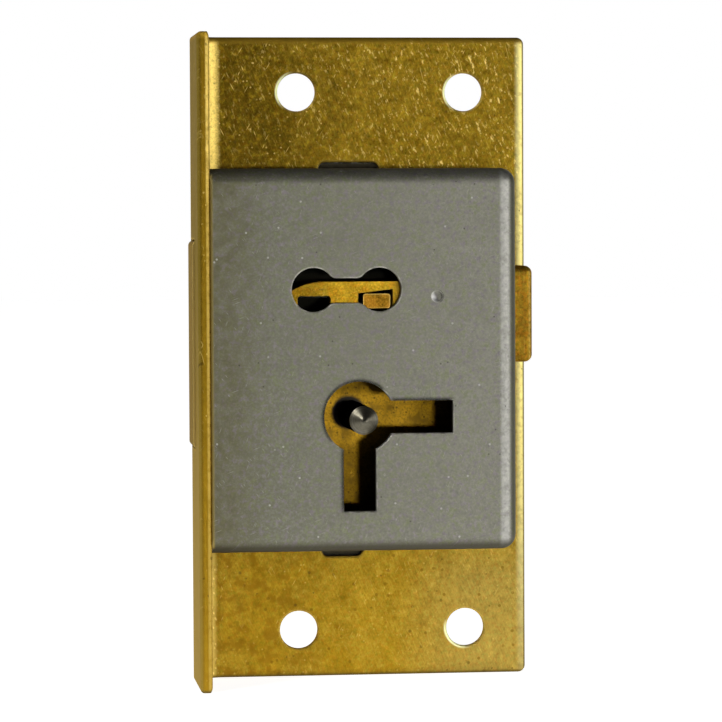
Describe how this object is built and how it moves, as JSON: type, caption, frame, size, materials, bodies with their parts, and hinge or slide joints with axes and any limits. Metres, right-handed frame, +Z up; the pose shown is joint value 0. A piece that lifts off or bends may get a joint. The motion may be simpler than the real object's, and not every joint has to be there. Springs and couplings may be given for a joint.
{
  "type": "cut cupboard lock",
  "caption": "Cut cupboard lock: folded brass plate and selvedge, pressed steel cap with keyhole and window, and a sliding bolt held by sprung levers.",
  "frame": {"origin": "on the drill pin's axis, on the inner face of the back plate, which rests on the door", "axes": "+X from the selvedge across the plate, +Y from the cap to the plate, +Z up along the selvedge"},
  "size_m": [0.0345, 0.0127, 0.0642],
  "materials": {
    "plate_brass": "worn, scratched sheet brass",
    "bolt_brass": "dull cast brass",
    "lever_brass": "stamped brass",
    "cap_steel": "dull grey pressed steel",
    "pin_steel": "turned bright steel",
    "spring_steel": "spring strip"
  },
  "bodies": {
    "case": {"back_plate": "plate_brass", "cap": "cap_steel", "drill_pin": "pin_steel", "lever_post": "pin_steel"},
    "bolt": {"bolt": "bolt_brass", "bolt_stump": "lever_brass"},
    "lever_1": {"lever_1": "lever_brass", "lever_spring_1": "spring_steel"},
    "lever_2": {"lever_2": "lever_brass", "lever_spring_2": "spring_steel"},
    "lever_3": {"lever_3": "lever_brass", "lever_spring_3": "spring_steel"},
    "lever_4": {"lever_4": "lever_brass", "lever_spring_4": "spring_steel"}
  },
  "joints": [
    {"name": "bolt_throw", "type": "slide", "parent": "case", "child": "bolt", "axis": [-1, 0, 0], "range_m": [0, 0.0061]},
    {"name": "lever_1_lift", "type": "hinge", "parent": "case", "child": "lever_1", "pos_m": [0.00715, -0.004, 0.0121], "axis": [0, 1, 0], "range_deg": [-2.5, 2.5], "stiffness_Nm_per_rad": 0.004, "springref_deg": -17.19, "deforming": ["lever_spring_1"]},
    {"name": "lever_2_lift", "type": "hinge", "parent": "case", "child": "lever_2", "pos_m": [0.00715, -0.00575, 0.0121], "axis": [0, 1, 0], "range_deg": [-2.9, 2.5], "stiffness_Nm_per_rad": 0.004, "springref_deg": -17.19, "deforming": ["lever_spring_2"]},
    {"name": "lever_3_lift", "type": "hinge", "parent": "case", "child": "lever_3", "pos_m": [0.00715, -0.0075, 0.0121], "axis": [0, 1, 0], "range_deg": [-2.2, 2.5], "stiffness_Nm_per_rad": 0.004, "springref_deg": -17.19, "deforming": ["lever_spring_3"]},
    {"name": "lever_4_lift", "type": "hinge", "parent": "case", "child": "lever_4", "pos_m": [0.00715, -0.00925, 0.0121], "axis": [0, 1, 0], "range_deg": [-3, 2.5], "stiffness_Nm_per_rad": 0.004, "springref_deg": -17.19, "deforming": ["lever_spring_4"]}
  ]
}
